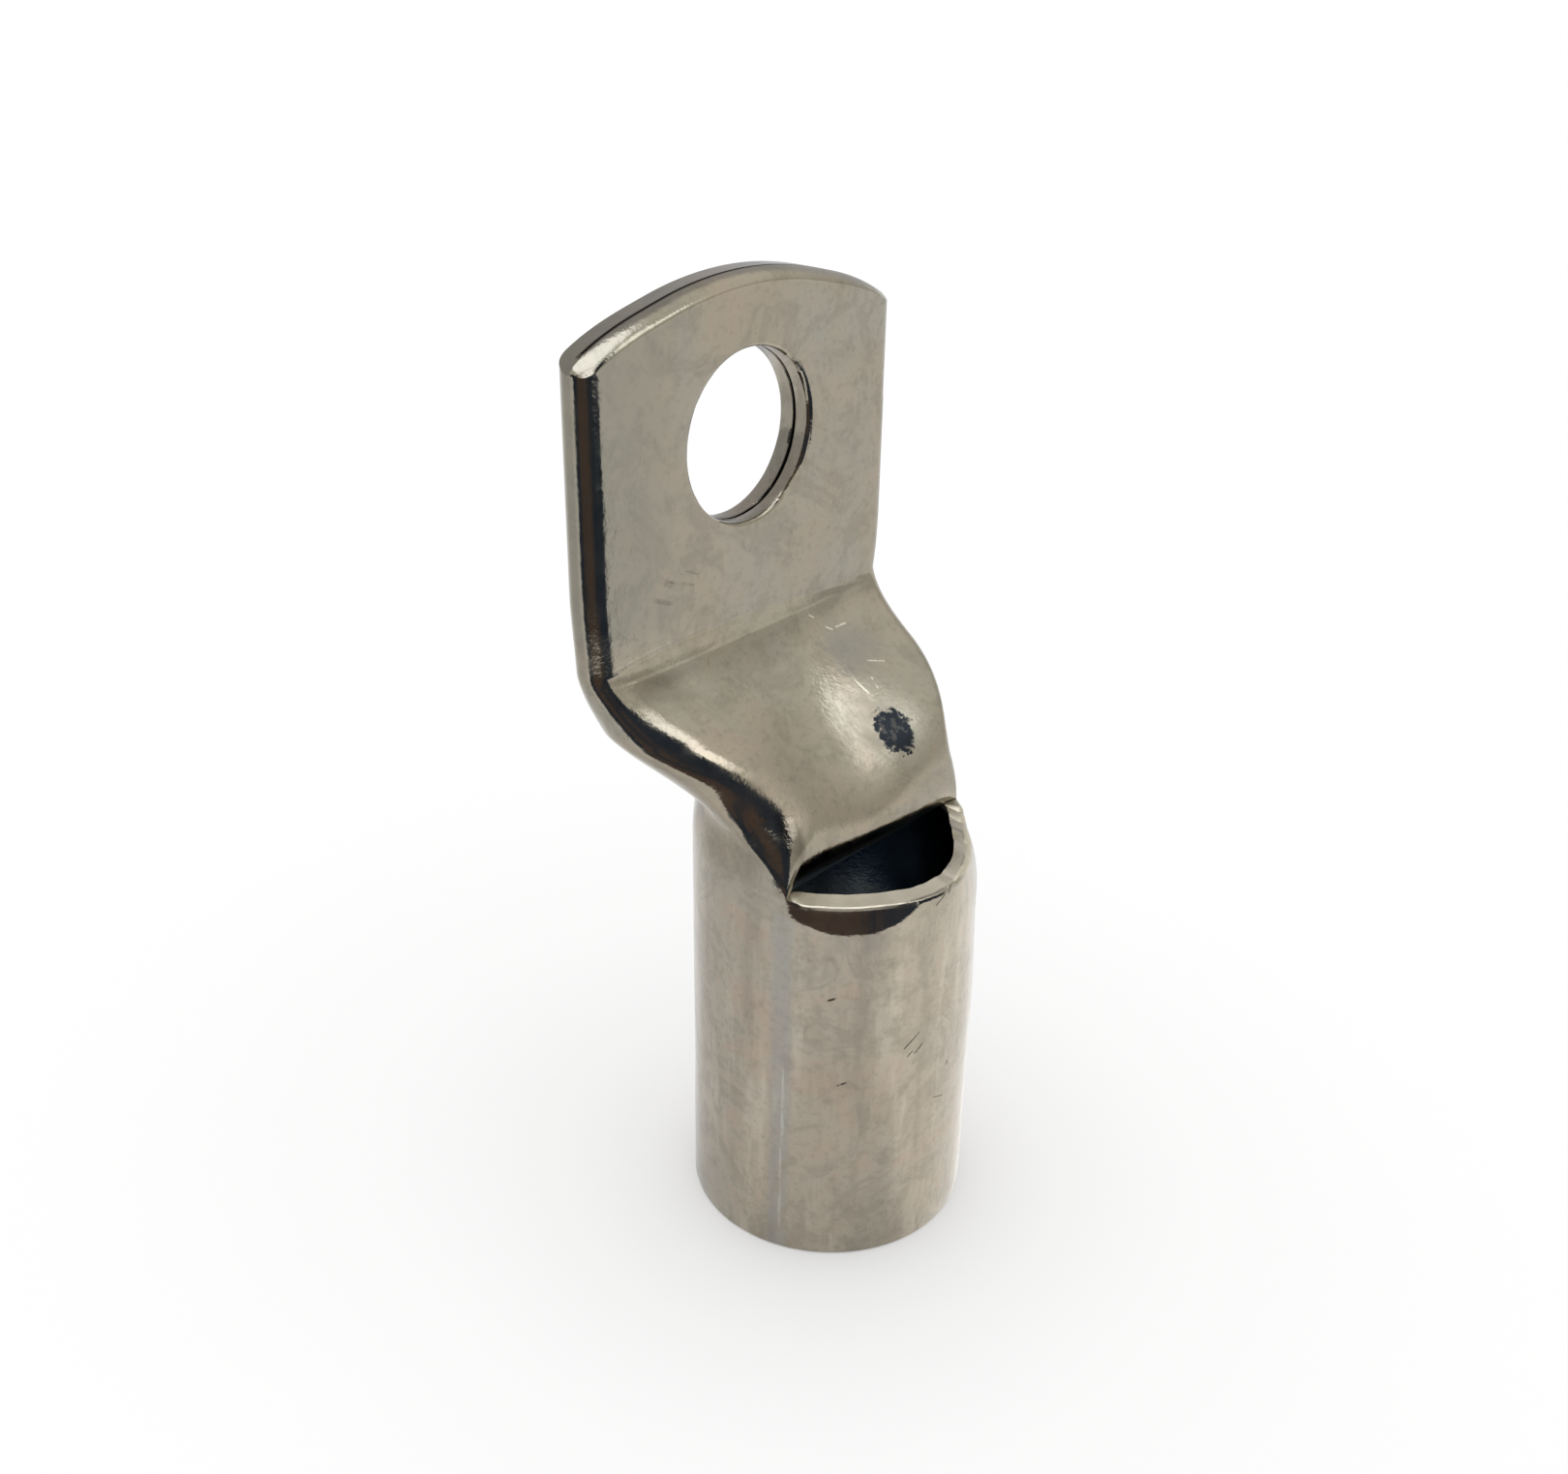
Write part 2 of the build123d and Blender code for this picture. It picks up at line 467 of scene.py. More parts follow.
def add_palm(net):
    """Adds the rows up the palm's outside, over its top and down its inside."""
    outer_palm = outer_outline(1)
    inner_palm = inner_outline(1)
    for z in palm_heights(outer_palm):
        net.add(outer_palm, z)
    for angle in quarter(top_points)[1:-1]:
        outline = [between(a, b, 1 - math.cos(angle)) for a, b in zip(outer_palm, inner_palm)]
        net.add(outline, top_at(*outline))
    net.mark("inner_top")
    for z in palm_heights(inner_palm)[::-1]:
        net.add(inner_palm, z)


def add_inside(net):
    """Adds the rows down the inside, from the palm's foot to the mouth."""
    rim = inner_outline(0)
    for share in onward(1, 0, 24)[:-1]:
        net.add(inner_outline(share), between(barrel_length, foot_height, share))
    net.add(rim, cut_top)
    net.mark("inner_rim")
    rim_part = np.linspace(barrel_length, close_height, 16)
    high_part = onward(close_height, wide_height, 9)
    low_part = onward(wide_height, mouth_rounding, 7)
    for z in np.concatenate([rim_part, high_part, low_part]):
        net.add(round_outline(bore_radius, rim, z), z)
    for angle in quarter(inner_points)[1:]:
        radius = bore_radius + mouth_rounding * (1 - math.cos(angle))
        net.add(round_outline(radius, rim, 0), mouth_rounding * (1 - math.sin(angle)))


def tube_net():
    """The pressed tube's points, before the window and the hole are opened."""
    net = Net()
    add_outside(net)
    add_palm(net)
    add_inside(net)
    return net


def cut_taper():
    """For each column, 1 along the cut and 0 at its two ends and beyond."""
    distance = np.abs(np.arange(columns) - half_cells)
    return np.clip((front_cells - distance) / taper_cells, 0, 1)[:, None]


def azimuth_of(points):
    """Degrees round the barrel from the front, positive to the right."""
    return np.degrees(np.arctan2(points[..., 0], -points[..., 1]))


def move_in(points, amount):
    """Moves points of the barrel towards its axis."""
    radius = np.maximum(np.hypot(points[..., 0], points[..., 1]), tiny)
    points[..., :2] *= (1 - amount / radius)[..., None]


def press_barrel(points, net):
    """Presses the barrel's wall in below the rim: a facet on the left and a torn roll on the right.

    The wall beside the cut's right end follows that roll a little.
    """
    taper = cut_taper()
    outside = slice(0, net.marks["outer_lip"])
    inside = slice(net.marks["inner_rim"], None)
    for rows, kept in ((outside, 1.0), (inside, inner_part)):
        part = points[:, rows]
        azimuth = azimuth_of(part)
        height = part[..., 2]
        from_middle = (azimuth - crescent_turn) / crescent_half
        hollow = crescent_depth * np.maximum(1 - from_middle ** 2, 0) ** 0.8
        ragged = 0.2 * rough(azimuth, 3, 4) + 0.12 * rough(azimuth, 4, 1.3)
        lower_edge = barrel_length - 0.2 - hollow + ragged
        facet = crescent_slope * np.maximum(height - lower_edge, 0) * (hollow > 0)
        pulled = eased(azimuth, pulled_start, pulled_full) * (1 - 0.75 * eased(azimuth, 48, 68))
        pulled *= 1 - eased(azimuth, 66, 90)
        near_rim = np.clip((height - roll_foot) / (barrel_length - roll_foot), 0, 1)
        roll = pulled_depth * eased(height, pulled_foot, roll_foot) + roll_depth * near_rim ** 2.2
        wave = wave_depth * rough(azimuth + 2 * height, 8, 30) * eased(height, 4, 14)
        move_in(part, kept * (facet * np.minimum(taper * 3, 1) + roll * pulled + np.abs(wave)))
    part = points[:, net.marks["outer_lip"]:net.marks["outer_foot"]]
    azimuth = azimuth_of(part)
    beside = eased(azimuth, 52, 66) * (1 - eased(azimuth, 66, 90))
    low_part = 1 - eased(part[..., 2], barrel_length, barrel_length + 6)
    move_in(part, beside_depth * beside * low_part)


def torn_at(azimuth):
    """0 on the left of the rim and 1 on its right, where the punch tore it."""
    return eased(azimuth, -14, 6)


def round_rim(points, net):
    """Rounds the rim's outer edge and tears it a little, most on its right."""
    taper = cut_taper()
    rows = slice(net.marks["rim_edge"], net.marks["outer_lip"])
    part = points[:, rows]
    azimuth = azimuth_of(part)
    radius = between(rim_rounding, torn_rounding, torn_at(azimuth))
    radius *= 1 + 0.25 * rough(azimuth, 5, 5)
    angle = quarter(rim_points)[None, 1:]
    part[..., 2] = between(part[..., 2], barrel_length - radius * (1 - np.sin(angle)), taper)
    move_in(part, radius * (1 - np.cos(angle)) * taper)
    outside = slice(net.marks["rim_edge"] - rim_rows, net.marks["outer_lip"])
    inside = slice(net.marks["inner_rim"], net.marks["inner_rim"] + rim_rows)
    for rows, seed, drop in ((outside, 11, 0.3), (inside, 17, 0)):
        part = points[:, rows]
        azimuth = azimuth_of(part)
        near = eased(part[..., 2], barrel_length - 3, barrel_length)
        torn = torn_at(azimuth)
        chips = between(0.06, 0.42, torn) * rough(azimuth, seed, 5)
        chips += between(0.02, 0.14, torn) * rough(azimuth, seed + 1, 1.6)
        part[..., 2] += near * taper * (np.minimum(chips, chip_edge) - drop * (1 - torn))


def round_lip(points, net):
    """Rounds the lower edge of the front wall above the cut."""
    first = net.marks["outer_lip"]
    rows = slice(first, first + lip_points)
    points[:, rows, 1] += lip_rounding * (1 - np.sin(quarter(lip_points))) * cut_taper()


def curl_lip(x, y, z):
    """Curls in the lip above the cut, most at its left end."""
    taper = cut_taper()
    to_right = eased(x, -10, 12)
    height = between(curl_left_height, curl_right_height, to_right) * taper
    curl = np.clip(1 - (z - barrel_length) / np.maximum(height, cut_gap), 0, 1)
    y += between(curl_left, curl_right, to_right) * curl ** 2 * taper


def dish_middle(y, share, across, front, left):
    """Dishes the shoulder's middle and pushes its two sides forward."""
    dish = np.maximum(1 - (across / 0.95) ** 2, 0) ** 2 * mound(share, dish_share, 0.27)
    y += dish_depth * dish
    push = np.where(left, push_left, push_right) * mound(share, push_share, 0.27)
    y -= push * eased(share, 0, 0.25) * front * eased(across, 0, 0.8)


def press_crease(x, y, z, across, front):
    """Presses the flat band along the crease at the palm's foot, and a dent and a rise below it."""
    crease = crease_height - np.where(x < -8, 0.0052, 0.0027) * (x + 8) ** 2
    facet = band_slope * (crease - z)
    fall = band_slope * (crease - band_foot) * eased(z, band_foot - 5, band_foot)
    leaning = np.where(z < foot_height, front_lean * (foot_height - z), 0)
    lift = np.where(z > band_foot, np.maximum(facet - leaning, 0), np.maximum(fall - 0.18, 0))
    flat_part = 1 - eased(across, 0.88, 1.0)
    y -= lift * between(1, flat_part, 0.7) * front
    creases = mound(z, crease, crease_width) + mound(z, band_foot, crease_width)
    y += crease_depth * creases * flat_part
    y += dent_depth * mound(x, dent[0], 3.4) * mound(z, dent[1], 1.0) * front * flat_part
    y -= pimple_height * mound(x, pimple[0], 0.5) * mound(z, pimple[1], 0.4) * front


def draw_sides(x, z, share, left):
    """Draws in the shoulder's two sides."""
    left_side = drawn_left * mound(share, 0.55, 0.35) + drawn_left_top * eased(share, 0.5, 1)
    left_side = left_side * (1 - eased(z, 61, 71))
    right_side = -drawn_right * mound(z, drawn_right_height, 5)
    sides = np.where(left, left_side, right_side) * eased(share, 0, 0.2)
    x += sides * np.clip(np.abs(x) / 14, 0, 1)


def bend_front(points, net):
    """Bends the outside unevenly, from the lip above the cut to the middle of the bolt hole.

    x, y and z are parts of the points themselves, so each step moves the points in place.
    """
    part = points[:, net.marks["outer_lip"]:net.marks["outer_foot"] + hole_rows]
    x, y, z = part[..., 0], part[..., 1], part[..., 2]
    distance = np.abs(np.arange(columns) - half_cells)[:, None]
    across = np.clip(distance / front_cells, 0, 1)
    front = 1 - eased(distance, front_cells, front_cells + 0.9 * fold_cells)
    share = np.clip(share_at(z), 0, 1)
    left = np.arange(columns)[:, None] < half_cells
    curl_lip(x, y, z)
    dish_middle(y, share, across, front, left)
    press_crease(x, y, z, across, front)
    waves = waviness * rough(x + 0.6 * z, 21, 9) * mound(share, 0.5, 0.35)
    y += waves * front * (1 - across ** 4)
    draw_sides(x, z, share, left)


def ring_cells():
    """The net's cells about a centre: their steps both ways, their ring and which way they lie."""
    steps = np.arange(-plain_ring, plain_ring + 1)
    across, along = np.meshgrid(steps, steps, indexing="ij")
    ring = np.maximum(np.abs(across), np.abs(along))
    u = across / np.maximum(ring, 1)
    v = along / np.maximum(ring, 1)
    wide = np.abs(u) >= np.abs(v)
    lesser = np.where(wide, v, u)
    greater = np.where(wide, np.where(u == 0, 1, u), np.where(v == 0, 1, v))
    lean = math.pi / 4 * lesser / greater
    along_x = np.where(wide, np.sign(u) * np.cos(lean), np.sign(v) * np.sin(lean))
    along_z = np.where(wide, np.sign(u) * np.sin(lean), np.sign(v) * np.cos(lean))
    return across, along, ring, along_x, along_z


def draw_ring(points, column, row, rounding, sink):
    """Draws the net round the bolt hole's place onto circles, the hole's own edge among them.

    That edge is rounded and sinks in a little, backwards where sink is more than 0.
    """
    across, along, ring, along_x, along_z = ring_cells()
    turn = 1 if points[(column + 1) % columns, row, 0] > points[column, row, 0] else -1
    up = 1 if points[column, row + 1, 2] > points[column, row, 2] else -1
    cell = (palm_half_width - palm_fold) / front_cells
    way = np.clip((ring - hole_ring) / (plain_ring - hole_ring), 0, 1)
    radius = between(hole_radius, plain_ring * cell, way ** 1.6)
    radius = np.where(ring < hole_ring, hole_radius * ring / hole_ring, radius)
    weight = eased(way)
    place = ((column + across) % columns, row + along)
    patch = points[place]
    patch[..., 0] = between(turn * radius * along_x, patch[..., 0], weight)
    patch[..., 2] = between(hole_height + up * radius * along_z, patch[..., 2], weight)
    from_edge = np.hypot(patch[..., 0], patch[..., 2] - hole_height) - hole_radius
    inside = np.clip(rounding - from_edge, 0, rounding)
    patch[..., 1] += np.sign(sink) * (rounding - np.sqrt(rounding ** 2 - inside ** 2))
    patch[..., 1] += sink * np.clip(1 - from_edge / sink_width, 0, 1) ** 2
    points[place] = patch


def select_open_edges(piece, chosen):
    """In edit mode, selects the open edges whose two ends both pass a test on their place in mm."""
    bpy.ops.mesh.select_mode(type="EDGE")
    bpy.ops.mesh.select_all(action="DESELECT")
    bpy.ops.mesh.select_non_manifold(extend=False, use_wire=False, use_multi_face=False,
                                     use_non_contiguous=False, use_verts=False)
    bpy.ops.object.mode_set(mode="OBJECT")
    for edge in piece.data.edges:
        if edge.select:
            ends = [piece.data.vertices[index].co / mm for index in edge.vertices]
            edge.select = all(chosen(end) for end in ends)
    bpy.ops.object.mode_set(mode="EDIT")


def tube_blank(net, points, hole_centres):
    """The wall as one closed net of faces, with the window and the bolt hole cut out of it."""
    across, along = points.shape[:2]
    bpy.ops.object.select_all(action="DESELECT")
    bpy.ops.mesh.primitive_grid_add(x_subdivisions=across, y_subdivisions=along)
    piece = bpy.context.object
    piece.name = "cable_lug_tinned"
    closed = np.concatenate([points, points[:1]], axis=0)
    closed = np.concatenate([closed, closed[:, :1]], axis=1)
    grid = closed.transpose(1, 0, 2) * mm
    piece.data.vertices.foreach_set("co", grid.astype(np.float32).ravel())

    opened = np.zeros((along, across), bool)
    front = slice(half_cells - front_cells, half_cells + front_cells)
    opened[net.marks["outer_lip"] - 1, front] = True
    opened[net.marks["inner_rim"] - 1, front] = True
    inside = np.arange(-hole_ring, hole_ring)
    for column, row in hole_centres:
        opened[np.ix_(row + inside, (column + inside) % across)] = True
    bpy.ops.object.mode_set(mode="EDIT")
    bpy.ops.mesh.select_mode(type="FACE")
    bpy.ops.object.mode_set(mode="OBJECT")
    piece.data.polygons.foreach_set("select", opened.ravel())
    bpy.ops.object.mode_set(mode="EDIT")
    bpy.ops.mesh.delete(type="FACE")
    bpy.ops.mesh.select_all(action="SELECT")
    bpy.ops.mesh.remove_doubles(threshold=merge_gap * mm)
    return piece


def in_cut(place):
    """Whether a place is on the cut's two edges."""
    return place.z < foot_height and place.y < cut_back


def in_front_layer(place):
    """Whether a place is on the hole's edges in the front layer of the palm."""
    return place.z > foot_height and place.y < seam_front + seam_gap / 2


def in_back_layer(place):
    """Whether a place is on the hole's edges in the back layer of the palm."""
    return place.z > foot_height and place.y > seam_front + seam_gap / 2


def cable_lug():
    """The whole lug as one closed mesh."""
    net = tube_net()
    points = net.points()
    outer_row = net.marks["outer_foot"] + hole_rows
    inner_row = net.marks["inner_top"] + rows_to_top
    bend_front(points, net)
    rings = (
        (half_cells, outer_row, 0.45, 0.1),
        (0, outer_row, 0.3, -0.03),
        (half_cells, inner_row, 0.1, -0.01),
        (0, inner_row, 0.1, 0.01),
    )
    for ring in rings:
        draw_ring(points, *ring)
    press_barrel(points, net)
    round_rim(points, net)
    round_lip(points, net)
    piece = tube_blank(net, points, [ring[:2] for ring in rings])
    for chosen in (in_cut, in_front_layer, in_back_layer):
        select_open_edges(piece, chosen)
        bpy.ops.mesh.bridge_edge_loops()
    bpy.ops.object.mode_set(mode="OBJECT")
    bpy.ops.object.shade_smooth_by_angle(angle=math.radians(35))
    return piece


class Signal:
    """A number, colour or vector in a node tree. Arithmetic on numbers adds Math nodes."""

    def __init__(self, tree, socket):
        self.tree = tree
        self.socket = socket

    def maths(self, operation, *values):
        return self.tree.node("ShaderNodeMath", {"operation": operation}, dict(enumerate(values)))

    def __add__(self, other):
        return self.maths("ADD", self, other)

    def __radd__(self, other):
        return self.maths("ADD", other, self)

    def __sub__(self, other):
        return self.maths("SUBTRACT", self, other)

    def __rsub__(self, other):
        return self.maths("SUBTRACT", other, self)

    def __mul__(self, other):
        return self.maths("MULTIPLY", self, other)

    def __rmul__(self, other):
        return self.maths("MULTIPLY", other, self)

    def __neg__(self):
        return self.maths("MULTIPLY", self, -1)

    def __abs__(self):
        return self.maths("ABSOLUTE", self)


class Tree:
    """Makes and links the nodes of one material or world."""

    def __init__(self, owner):
        owner.use_nodes = True
        self.nodes = owner.node_tree.nodes
        self.links = owner.node_tree.links
        self.nodes.clear()

    def node(self, kind, settings=None, inputs=None, output=0):
        """Adds a node, sets what it is told, links or fills its sockets and gives one output."""
        node = self.nodes.new(kind)
        for name, value in (settings or {}).items():
            setattr(node, name, value)
        for name, value in (inputs or {}).items():
            if isinstance(value, Signal):
                self.links.new(value.socket, node.inputs[name])
            else:
                node.inputs[name].default_value = value
        return Signal(self, node.outputs[output]) if node.outputs else None

    def rise(self, value, low, high, start=0.0, end=1.0):
        """start up to low and end from high, with a smooth rise in between."""
        return self.node("ShaderNodeMapRange", {"interpolation_type": "SMOOTHSTEP"},
                         {0: value, 1: low, 2: high, 3: start, 4: end})

    def band(self, value, low, high, soft):
        """1 between low and high, 0 outside, with soft edges."""
        from_low = self.rise(value, low - soft, low + soft)
        return from_low * self.rise(value, high - soft, high + soft, 1, 0)

    def mix(self, factor, first, second):
        """From the first colour to the second."""
        return self.node("ShaderNodeMix", {"data_type": "RGBA"}, {0: factor, 6: first, 7: second}, 2)

    def mix_shader(self, factor, first, second):
        """From the first shader to the second."""
        return self.node("ShaderNodeMixShader", None, {0: factor, 1: first, 2: second})

    def emission(self, colour, strength):
        """A shader that glows evenly."""
        return self.node("ShaderNodeEmission", None, {"Color": colour, "Strength": strength})

    def parts(self, place):
        """The three numbers of a place or direction."""
        return [self.node("ShaderNodeSeparateXYZ", None, {0: place}, part) for part in range(3)]

    def azimuth(self, x, y):
        """Degrees round the Z axis from the front, positive to the right."""
        return x.maths("ARCTAN2", x, -y) * math.degrees(1)

    def noise(self, place, scale, detail=2.0, roughness=0.5, distortion=0.0):
        """Soft noise about 0.5."""
        return self.node("ShaderNodeTexNoise", None, {
            "Vector": place, "Scale": scale, "Detail": detail, "Roughness": roughness,
            "Distortion": distortion})

    def stretched(self, place, scale, turn=(0, 0, 0)):
        """The place, stretched and then turned."""
        return self.node("ShaderNodeMapping", {"vector_type": "POINT"},
                         {"Vector": place, "Rotation": turn, "Scale": scale})

    def distance(self, place, centre=(0, 0, 0), stretch=(1, 1, 1)):
        """Millimetres from a centre to the place, with both stretched first."""
        point = [value * part * mm for value, part in zip(centre, stretch)]
        return self.node("ShaderNodeVectorMath", {"operation": "DISTANCE"},
                         {0: self.stretched(place, stretch), 1: point}, "Value") * (1 / mm)


def rgb(red, green, blue):
    """A colour from its 0 to 255 values as a screen shows them."""
    def linear(value):
        share = value / 255
        return share / 12.92 if share <= 0.04045 else ((share + 0.055) / 1.055) ** 2.4

    return (linear(red), linear(green), linear(blue), 1)


def mark(tree, x, z, start, end, width):
    """1 along a straight mark between two places, seen from the front, in mm."""
    length = math.dist(start, end)
    along_x = (end[0] - start[0]) / length
    along_z = (end[1] - start[1]) / length
    from_x = x - start[0]
    from_z = z - start[1]
    along = from_x * along_x + from_z * along_z
    aside = from_x * along_z - from_z * along_x
    near = tree.rise(abs(aside), width * 0.4, width, 1, 0)
    return near * tree.band(along, 0, length, width)


def front_marks(tree, x, y, z):
    """For each of the six lists of marks above, 1 on its marks on the lug's front."""
    limit = tree.rise(z, barrel_length, barrel_length + 2, 0, palm_front + 0.6)
    front = tree.rise(y - limit, -0.3, 0.3, 1, 0)
    return [sum(mark(tree, x, z, *ends, width) for *ends, width in marks) * front
            for marks in (nicks, scratches, brush_marks, dull_marks, dent_shade_marks, ridge_shade_marks)]


def painted_reflection_blot(tree, place, small, speckle):
    """How much of the tin the ragged blot on the shoulder's right hides. The blot is a painted
    reflection of a dark thing.
    """
    ragged = tree.distance(place, painted_spot, painted_spot_stretch) + (speckle - 0.5) * 2.4 + (small - 0.5) * 0.8
    return tree.rise(ragged, 1.8, 2.3, 1, 0) * tree.rise(speckle, 0.5, 0.62, 0.98, 0.86)


def bore_painted_shade(tree, from_axis, z):
    """1 on the upper part of the bore, up to just below the rim, where the tin is darkened as painted
    shade.
    """
    inside = tree.rise(from_axis, bore_radius + 0.02, bore_radius + 0.12, 1, 0)
    return inside * tree.band(z, 14, barrel_length - 0.9, 0.3)


def palm_seam(tree, x, y, z):
    """1 where the seam between the palm's two layers shows, at its top and in the hole."""
    seam = tree.rise(abs(y - (seam_front + seam_gap / 2)), 0.14, 0.34, 1, 0)
    seam = seam * tree.rise(abs(x), palm_half_width - 1.6, palm_half_width - 1.2, 1, 0)
    return seam * tree.rise(z, foot_height + 6, foot_height + 7)


def torn_rim(tree, from_axis, y, z):
    """1 on the face of the window's rim, where the punch left the metal bare."""
    torn = tree.band(z, barrel_length - 0.7, barrel_length + cut_gap / 2, cut_gap / 2)
    torn = torn * tree.rise(from_axis, barrel_radius - 0.5, barrel_radius - 0.3, 1, 0)
    return torn * tree.rise(y, -4, 0, 1, 0)


def tinned_copper():
    """Tin plate on copper: bright to satin, mottled beige and grey, with stains and scratches, and
    with painted reflections, painted shade and a painted highlight in places.
    """
    material = bpy.data.materials.new("tinned_copper")
    tree = Tree(material)
    place = tree.node("ShaderNodeTexCoord", output="Object")
    x, y, z = (part * (1 / mm) for part in tree.parts(place))
    large = tree.noise(place, 55, 3, 0.55, 0.8)
    stain = tree.noise(place, 120, 4, 0.62, 1.4)
    small = tree.noise(place, 420, 3, 0.65)
    drawn = tree.noise(tree.stretched(place, (1, 1, 0.13), (0, 0.16, 0)), 300, 4, 0.62)
    speckle = tree.noise(place, 1500, 2, 0.6)
    on_barrel = tree.rise(z, barrel_length - 3, barrel_length + 1, 1, 0)
    worn = tree.rise(x + (stain - 0.5) * 12, -17, -5, 0.5, 0) * tree.rise(z, 64, 68)
    azimuth = tree.azimuth(x, y) + (drawn - 0.5) * 5
    cool = tree.band(azimuth, -75, -67, 2) * tree.rise(stain, 0.35, 0.55)
    # painted highlight: a thin light streak up the barrel's left side
    line = tree.band(azimuth, -70.5, -69.7, 0.5) * tree.band(z, 3, 23, 1.5)
    nicked, scratched, brushed, dulled, painted_dent_shade, painted_ridge_shade = front_marks(tree, x, y, z)
    # painted reflection: a grey patch above the blot
    painted_grey_reflection = tree.rise(tree.distance(place, grey_reflection_centre) + (stain - 0.5) * 5, 1.5, 5.5, 0.45, 0)
    from_axis = tree.distance(place, stretch=(1, 1, 0))
    torn = torn_rim(tree, from_axis, y, z)

    colour = tree.mix(tree.rise(large, 0.38, 0.62), rgb(159, 150, 134), rgb(156, 152, 139))
    for amount, tint in (
            (on_barrel * 0.5, rgb(173, 164, 149)),
            (tree.rise(stain, 0.5, 0.66) * (on_barrel * 0.35 + 0.3), rgb(171, 154, 138)),
            (tree.band(stain, 0.38, 0.46, 0.05) * 0.35, rgb(131, 123, 110)),
            (tree.rise(drawn, 0.5, 0.7) * on_barrel * 0.5, rgb(138, 131, 120)),
            (tree.rise(drawn, 0.32, 0.47, 1, 0) * on_barrel * 0.5, rgb(190, 182, 167)),
            (tree.rise(small, 0.5, 0.72) * 0.5, rgb(139, 133, 120)),
            (tree.rise(speckle, 0.5, 0.75) * 0.25, rgb(116, 112, 102)),
            (worn, rgb(137, 137, 126)),
            (cool * on_barrel * 0.4, rgb(137, 143, 146)),
            # painted highlight: the thin light streak up the barrel
            (line * tree.rise(small, 0.3, 0.55) * 0.45, rgb(196, 197, 190)),
            (nicked * tree.rise(speckle, 0.3, 0.5), rgb(62, 56, 50)),
            (scratched * tree.rise(speckle, 0.36, 0.5) * 0.8, rgb(226, 220, 204)),
            (brushed * tree.rise(small, 0.4, 0.6) * 0.25, rgb(96, 90, 80)),
            (dulled * tree.rise(stain, 0.4, 0.55) * 0.6, rgb(126, 119, 122)),
            # painted shade in the dent below the crease's left end
            (painted_dent_shade * 0.4, rgb(100, 94, 82)),
            # painted shade along the left fold, dimming its highlight there
            (painted_ridge_shade * 0.8, rgb(100, 94, 84)),
            # painted reflection of a dark thing, as a ragged blot
            (painted_reflection_blot(tree, place, small, speckle), rgb(33, 38, 45)),
            # painted reflection: a grey patch above the blot
            (painted_grey_reflection, rgb(127, 128, 127)),
            # painted shade inside the bore
            (bore_painted_shade(tree, from_axis, z), rgb(84, 97, 112)),
            (palm_seam(tree, x, y, z) * 0.8, rgb(60, 54, 46)),
            (torn * 0.8, rgb(206, 198, 180))):
        colour = tree.mix(amount, colour, tint)

    height = speckle * 0.7 + tree.noise(place, 3300, 1, 0.5) * 0.3
    bump = tree.node("ShaderNodeBump", None, {"Strength": 0.27, "Distance": 0.0001, "Height": height})
    roughness = tree.rise(small, 0.3, 0.7, 0.09, 0.17) + tree.rise(stain, 0.5, 0.7, 0, 0.05)
    roughness = roughness + tree.rise(tree.distance(place, painted_spot), 2, 9, 0.18, 0)
    roughness = roughness + brushed * 0.1 + torn * 0.25
    shader = tree.node("ShaderNodeBsdfPrincipled", None, {
        "Base Color": colour, "Metallic": 1.0, "Roughness": roughness, "Normal": bump})
    tree.node("ShaderNodeOutputMaterial", None, {"Surface": shader})
    return material


def dark_room(tree, azimuth, place, scale, warmth=1.0):
    """Colour of the room's dark part: blue-black, with patches of brown at its left.

    The warmth, from 0 to 1, is how much of the brown there is.
    """
    patches = tree.noise(place, scale, 3, 0.6) - 0.5
    browned = tree.band(azimuth + patches * 90, -76, -26, 4)
    browned = browned * tree.rise(patches, -0.2, 0.15, 0.55, 1)
    return tree.mix(browned * warmth, blue_black, brown)


def pale_floor():
    """White floor that keeps the lug's shadow. Mirror rays see it lighter, dimmer or dark in parts."""
    material = bpy.data.materials.new("pale_floor")
    tree = Tree(material)
    plain = tree.node("ShaderNodeBsdfPrincipled", None, {
        "Base Color": floor_white, "Roughness": 0.9, "Specular IOR Level": 0.0})
    glow = tree.emission((1, 1, 1, 1), 0.16)
    surface = tree.node("ShaderNodeAddShader", None, {0: plain, 1: glow})
    place = tree.node("ShaderNodeTexCoord", output="Object")
    x, y, _ = tree.parts(place)
    azimuth = tree.azimuth(x, y)
    distance = tree.distance(place)
    seen = tree.node("ShaderNodeLightPath", output="Is Glossy Ray")

    bright = tree.band(azimuth, -8, 93, 14) * tree.rise(distance, 90, 130, 0.75, 0)
    dim = tree.band(azimuth, -166, -110, 10) * tree.rise(distance, 90, 130, 0.25, 0.5)
    dim = dim + tree.band(azimuth, 104, 150, 8) * 0.75
    right_end = tree.rise(distance, 200, 700, 36, 6)
    dark = tree.rise(azimuth - right_end, -2, 2, 1, 0) * tree.rise(azimuth, -98, -93)
    near_end = tree.rise(azimuth, -45, -25, 104, 85)
    dark = dark * tree.rise(distance - near_end, 0, 18)
    dark = dark * (1 - tree.rise(distance, 340, 460) * tree.band(azimuth, -1, 60, 3))
    for amount, colour, strength in (
            (bright, floor_bright, 1.35),
            (dim, floor_dim, 1.0),
            (dark, dark_room(tree, azimuth, place, 16), 1.0)):
        surface = tree.mix_shader(amount * seen, surface, tree.emission(colour, strength))
    tree.node("ShaderNodeOutputMaterial", None, {"Surface": surface})
    return material


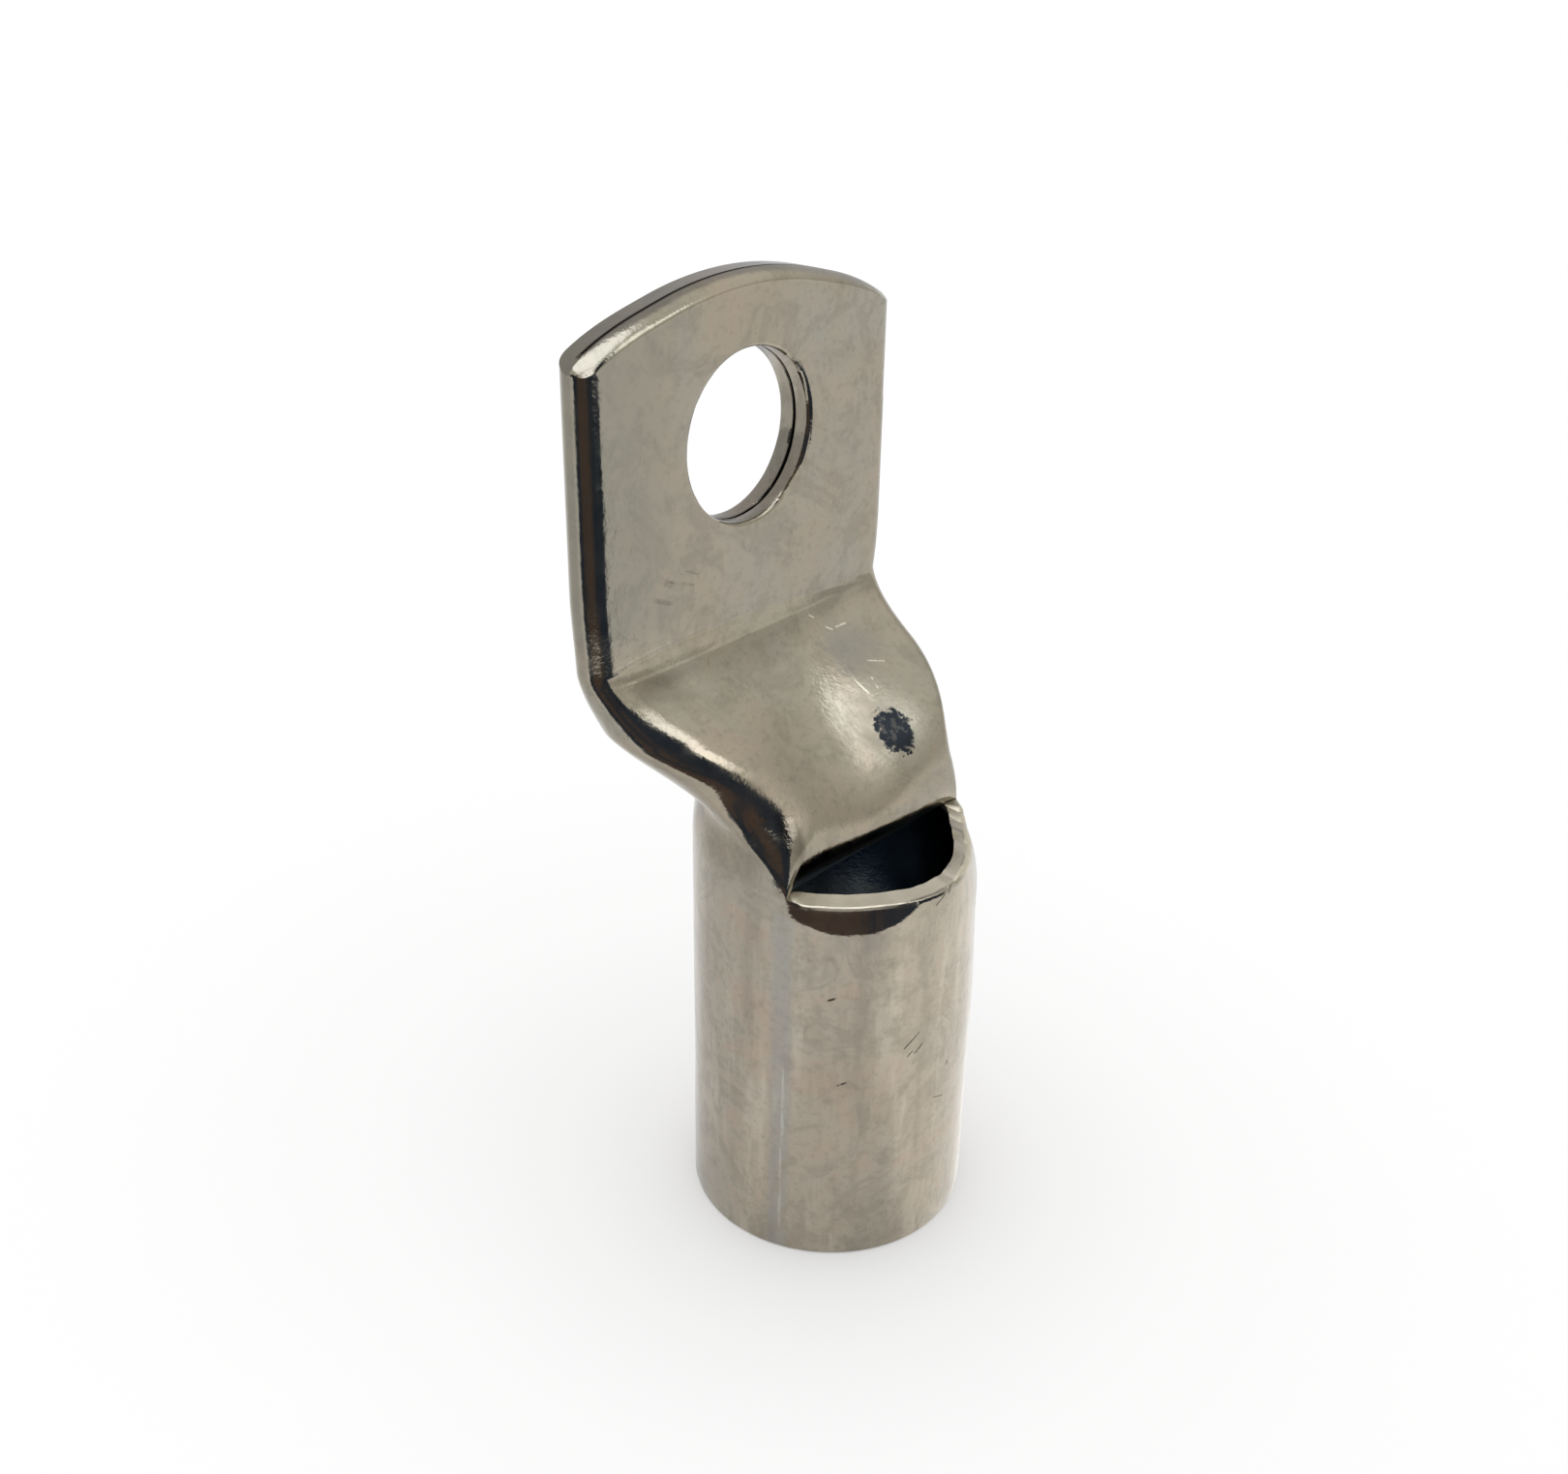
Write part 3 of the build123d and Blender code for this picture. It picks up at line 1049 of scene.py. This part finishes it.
def studio():
    """White room, with the dark part of the room and the lamp that the bright metal mirrors."""
    world = bpy.data.worlds.new("studio")
    bpy.context.scene.world = world
    tree = Tree(world)
    direction = tree.node("ShaderNodeTexCoord", output="Generated")
    x, y, z = tree.parts(direction)
    azimuth = tree.azimuth(x, y)
    elevation = z.maths("ARCSINE", z) * math.degrees(1)

    room = tree.mix(tree.rise(elevation, 21, 43), wall_low, wall_high)
    room = tree.mix(tree.rise(elevation, 7, 14, 1, 0), room, wall_foot)
    room = tree.mix(tree.rise(abs(azimuth), 100, 118), room, wall_behind)
    right_end = tree.rise(elevation, 28, 46, 3, 21)
    left_end = tree.rise(elevation, 14, 30, -109, -97) + tree.rise(elevation, 48, 60, 0, 42)
    dark = tree.rise(azimuth - right_end, -1.5, 1.5, 1, 0) * tree.rise(azimuth - left_end, 0, 5)
    dark = dark * tree.rise(elevation, 63, 68, 1, 0)
    warmth = tree.rise(elevation, 14, 30, 0.2, 1)
    room = tree.mix(dark, room, dark_room(tree, azimuth, direction, 5, warmth))
    lamp = tree.band(azimuth - right_end, 1, 30, 2.5) * tree.band(elevation, 42, 64, 2.5)
    glare = tree.mix(tree.band(elevation, 39, 47, 2.5), lamp_middle, lamp_foot)
    room = tree.mix(lamp, room, glare)
    room = tree.mix(tree.rise(elevation, 68, 75), room, ceiling)

    seen = tree.node("ShaderNodeLightPath", output="Is Glossy Ray")
    lit = tree.node("ShaderNodeBackground", None, {"Color": (1, 1, 1, 1), "Strength": 1.0})
    mirrored = tree.node("ShaderNodeBackground", None, {"Color": room, "Strength": 1.0})
    tree.node("ShaderNodeOutputWorld", None, {"Surface": tree.mix_shader(seen, lit, mirrored)})


def stand():
    """The floor that the lug stands on."""
    bpy.ops.mesh.primitive_plane_add(size=40)
    floor = bpy.context.object
    floor.name = "floor"
    floor.data.materials.append(pale_floor())


def look():
    """The camera, where the photograph was taken from."""
    place = Vector((-117.833, -94.396, 130.264)) * mm
    yaw = math.radians(-49.1596)
    pitch = math.radians(26.9863)
    roll = math.radians(1.0127)
    data = bpy.data.cameras.new("camera")
    data.lens = 39.354
    data.sensor_width = 36
    data.clip_start = 0.001
    camera = bpy.data.objects.new("camera", data)
    turn = Matrix.Rotation(yaw, 4, "Z") @ Matrix.Rotation(math.pi / 2 - pitch, 4, "X")
    turn = turn @ Matrix.Rotation(roll, 4, "Z")
    camera.matrix_world = Matrix.Translation(place) @ turn
    bpy.context.scene.collection.objects.link(camera)
    bpy.context.scene.camera = camera
    bpy.context.scene.view_settings.view_transform = "Standard"


piece = cable_lug()
piece.data.materials.append(tinned_copper())
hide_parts("cable_lug")
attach(piece, "root")
stand()
studio()
look()
